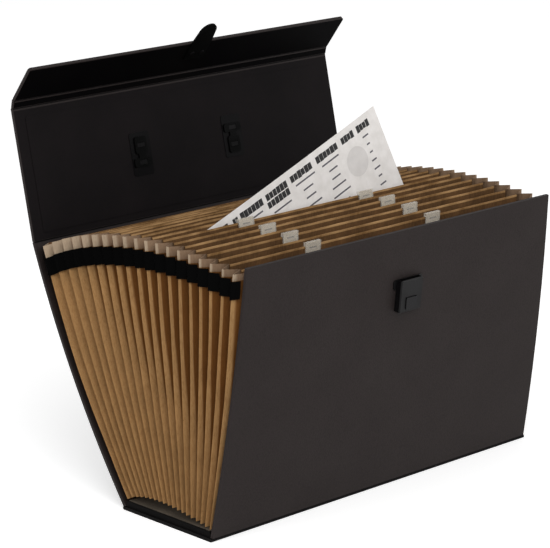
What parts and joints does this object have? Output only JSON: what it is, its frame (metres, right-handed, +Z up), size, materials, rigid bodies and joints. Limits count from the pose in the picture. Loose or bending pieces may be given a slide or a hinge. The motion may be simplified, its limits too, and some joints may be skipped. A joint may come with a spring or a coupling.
{
  "type": "expanding file box",
  "caption": "Portable expanding file box, shown open: covered boards, pleated paper pockets with index tabs, folding lid and flap, push catch and carrying handle.",
  "frame": {"origin": "centre of the underside of the base, on the surface the box stands on", "axes": "X along the width (left to right seen from the front), -Y to the front board with the catch, +Z up"},
  "size_m": [0.403, 0.3212, 0.3928],
  "materials": {
    "covering": "fine grained leather-look covering paper, satin",
    "floor_card": "dark card, matt",
    "kraft_lining": "kraft paper, matt",
    "kraft_card": "kraft card, matt",
    "lid_paper": "black lining paper, matt",
    "gloss_tape": "glossy black tape",
    "black_plastic": "moulded, satin",
    "button_plastic": "moulded, polished",
    "dark_steel": "black lacquered steel",
    "clear_plastic": "clear plastic",
    "white_paper": "white paper, matt"
  },
  "bodies": {
    "base": {"base_board": "covering", "base_pad": "floor_card", "base_lining": "kraft_lining", "pocket_floor": "kraft_lining", "left_gusset": "kraft_card", "right_gusset": "kraft_card", "left_tape": "gloss_tape", "right_tape": "gloss_tape"},
    "back_cover": {"back_board": "covering", "back_pocket_panel": "kraft_card"},
    "front_cover": {"front_board": "covering", "front_pocket_panel": "kraft_card", "catch_housing": "black_plastic", "catch_rivets": "dark_steel"},
    "catch_button_body": {"catch_button": "button_plastic"},
    "lid": {"lid_board": "covering", "lid_lining": "lid_paper", "carry_handle": "black_plastic", "handle_plate_left": "dark_steel", "handle_plate_right": "dark_steel", "handle_keeper_left": "black_plastic", "handle_keeper_right": "black_plastic"},
    "fold_strip_body": {"fold_strip": "covering"},
    "flap": {"flap_board": "covering", "clasp_tongue": "black_plastic", "tongue_rivets": "dark_steel"},
    "index_sheet_body": {"index_sheet": "white_paper"},
    "divider_01_body": {"divider_01": "kraft_card"},
    "divider_02_body": {"divider_02": "kraft_card"},
    "divider_03_body": {"divider_03": "kraft_card"},
    "divider_04_body": {"divider_04": "kraft_card"},
    "divider_05_body": {"divider_05": "kraft_card"},
    "divider_06_body": {"divider_06": "kraft_card"},
    "divider_07_body": {"divider_07": "kraft_card"},
    "divider_08_body": {"divider_08": "kraft_card"},
    "divider_09_body": {"divider_09": "kraft_card"},
    "divider_10_body": {"divider_10": "kraft_card"},
    "divider_11_body": {"divider_11": "kraft_card", "tab_holders_11": "clear_plastic", "tab_labels_11": "white_paper"},
    "divider_12_body": {"divider_12": "kraft_card"},
    "divider_13_body": {"divider_13": "kraft_card", "tab_holders_13": "clear_plastic", "tab_labels_13": "white_paper"},
    "divider_14_body": {"divider_14": "kraft_card"},
    "divider_15_body": {"divider_15": "kraft_card", "tab_holders_15": "clear_plastic", "tab_labels_15": "white_paper"},
    "divider_16_body": {"divider_16": "kraft_card"},
    "divider_17_body": {"divider_17": "kraft_card", "tab_holders_17": "clear_plastic", "tab_labels_17": "white_paper"},
    "divider_18_body": {"divider_18": "kraft_card"}
  },
  "joints": [
    {"name": "box_closing", "type": "hinge", "parent": "base", "child": "back_cover", "pos_m": [0, 0.05575, 0.0015], "axis": [1, 0, 0], "range_deg": [0, 28.8], "deforming": ["left_gusset", "right_gusset", "left_tape", "right_tape"]},
    {"name": "front_cover_fold", "type": "hinge", "parent": "base", "child": "front_cover", "pos_m": [0, -0.05575, 0.0015], "axis": [-1, 0, 0], "range_deg": [0, 7.6]},
    {"name": "divider_01_fold", "type": "hinge", "parent": "base", "child": "divider_01_body", "pos_m": [0, 0.05373, 0.01199], "axis": [1, 0, 0], "range_deg": [0, 26.89]},
    {"name": "divider_02_fold", "type": "hinge", "parent": "base", "child": "divider_02_body", "pos_m": [0, 0.05338, 0.01422], "axis": [1, 0, 0], "range_deg": [0, 24.97]},
    {"name": "divider_03_fold", "type": "hinge", "parent": "base", "child": "divider_03_body", "pos_m": [0, 0.05214, 0.01576], "axis": [1, 0, 0], "range_deg": [0, 23.05]},
    {"name": "divider_04_fold", "type": "hinge", "parent": "base", "child": "divider_04_body", "pos_m": [0, 0.05053, 0.01688], "axis": [1, 0, 0], "range_deg": [0, 21.14]},
    {"name": "divider_05_fold", "type": "hinge", "parent": "base", "child": "divider_05_body", "pos_m": [0, 0.0487, 0.01765], "axis": [1, 0, 0], "range_deg": [0, 19.22]},
    {"name": "divider_06_fold", "type": "hinge", "parent": "base", "child": "divider_06_body", "pos_m": [0, 0.04676, 0.01812], "axis": [1, 0, 0], "range_deg": [0, 17.31]},
    {"name": "divider_07_fold", "type": "hinge", "parent": "base", "child": "divider_07_body", "pos_m": [0, 0.04482, 0.01833], "axis": [1, 0, 0], "range_deg": [0, 15.39]},
    {"name": "divider_08_fold", "type": "hinge", "parent": "base", "child": "divider_08_body", "pos_m": [0, 0.04301, 0.01831], "axis": [1, 0, 0], "range_deg": [0, 13.47]},
    {"name": "divider_09_fold", "type": "hinge", "parent": "base", "child": "divider_09_body", "pos_m": [0, 0.04155, 0.01808], "axis": [1, 0, 0], "range_deg": [0, 11.56]},
    {"name": "divider_10_fold", "type": "hinge", "parent": "base", "child": "divider_10_body", "pos_m": [0, 0.0408, 0.01768], "axis": [1, 0, 0], "range_deg": [0, 9.64]},
    {"name": "divider_11_fold", "type": "hinge", "parent": "base", "child": "divider_11_body", "pos_m": [0, 0.04116, 0.01712], "axis": [1, 0, 0], "range_deg": [0, 7.73]},
    {"name": "divider_12_fold", "type": "hinge", "parent": "base", "child": "divider_12_body", "pos_m": [0, 0.03526, 0.01643], "axis": [1, 0, 0], "range_deg": [0, 5.81]},
    {"name": "divider_13_fold", "type": "hinge", "parent": "base", "child": "divider_13_body", "pos_m": [0, 0.02937, 0.01563], "axis": [1, 0, 0], "range_deg": [0, 3.9]},
    {"name": "divider_14_fold", "type": "hinge", "parent": "base", "child": "divider_14_body", "pos_m": [0, 0.02347, 0.01474], "axis": [1, 0, 0], "range_deg": [0, 1.98]},
    {"name": "divider_15_fold", "type": "hinge", "parent": "base", "child": "divider_15_body", "pos_m": [0, 0.01758, 0.01379], "axis": [1, 0, 0], "range_deg": [0, 0.064]},
    {"name": "divider_16_fold", "type": "hinge", "parent": "base", "child": "divider_16_body", "pos_m": [0, -0.055, 0.0128], "axis": [-1, 0, 0], "range_deg": [0, 1.85]},
    {"name": "divider_17_fold", "type": "hinge", "parent": "base", "child": "divider_17_body", "pos_m": [0, -0.055, 0.01179], "axis": [-1, 0, 0], "range_deg": [0, 3.77]},
    {"name": "divider_18_fold", "type": "hinge", "parent": "base", "child": "divider_18_body", "pos_m": [0, -0.05428, 0.01076], "axis": [-1, 0, 0], "range_deg": [0, 5.68]},
    {"name": "lid_hinge", "type": "hinge", "parent": "back_cover", "child": "lid", "pos_m": [0, 0.181, 0.2167], "axis": [1, 0, 0], "range_deg": [-17.5, 73.9], "deforming": ["index_sheet"]},
    {"name": "flap_fold", "type": "hinge", "parent": "fold_strip_body", "child": "flap", "pos_m": [0, 0.2057, 0.34257], "axis": [1, 0, 0], "range_deg": [-24.85, 20.15]},
    {"name": "strip_fold", "type": "hinge", "parent": "lid", "child": "fold_strip_body", "pos_m": [0, 0.20749, 0.33426], "axis": [1, 0, 0], "range_deg": [-24.85, 20.15]},
    {"name": "catch_press", "type": "slide", "parent": "front_cover", "child": "catch_button_body", "axis": [0, 0.9912, 0.1323], "range_m": [0, 0.001], "stiffness_N_per_m": 400},
    {"name": "index_sheet_lift", "type": "slide", "parent": "divider_10_body", "child": "index_sheet_body", "axis": [0, 0.1789, 0.9839], "range_m": [0, 0.2]}
  ],
  "couplings": [
    {"joint": "front_cover_fold", "follows": "box_closing", "ratio": 0.26389},
    {"joint": "divider_01_fold", "follows": "box_closing", "ratio": 0.93348},
    {"joint": "divider_02_fold", "follows": "box_closing", "ratio": 0.86696},
    {"joint": "divider_03_fold", "follows": "box_closing", "ratio": 0.80044},
    {"joint": "divider_04_fold", "follows": "box_closing", "ratio": 0.73392},
    {"joint": "divider_05_fold", "follows": "box_closing", "ratio": 0.6674},
    {"joint": "divider_06_fold", "follows": "box_closing", "ratio": 0.60088},
    {"joint": "divider_07_fold", "follows": "box_closing", "ratio": 0.53436},
    {"joint": "divider_08_fold", "follows": "box_closing", "ratio": 0.46784},
    {"joint": "divider_09_fold", "follows": "box_closing", "ratio": 0.40132},
    {"joint": "divider_10_fold", "follows": "box_closing", "ratio": 0.3348},
    {"joint": "divider_11_fold", "follows": "box_closing", "ratio": 0.26827},
    {"joint": "divider_12_fold", "follows": "box_closing", "ratio": 0.20175},
    {"joint": "divider_13_fold", "follows": "box_closing", "ratio": 0.13523},
    {"joint": "divider_14_fold", "follows": "box_closing", "ratio": 0.068713},
    {"joint": "divider_15_fold", "follows": "box_closing", "ratio": 0.002193},
    {"joint": "divider_16_fold", "follows": "box_closing", "ratio": 0.064327},
    {"joint": "divider_17_fold", "follows": "box_closing", "ratio": 0.13085},
    {"joint": "divider_18_fold", "follows": "box_closing", "ratio": 0.19737},
    {"joint": "strip_fold", "follows": "flap_fold", "ratio": 1}
  ]
}
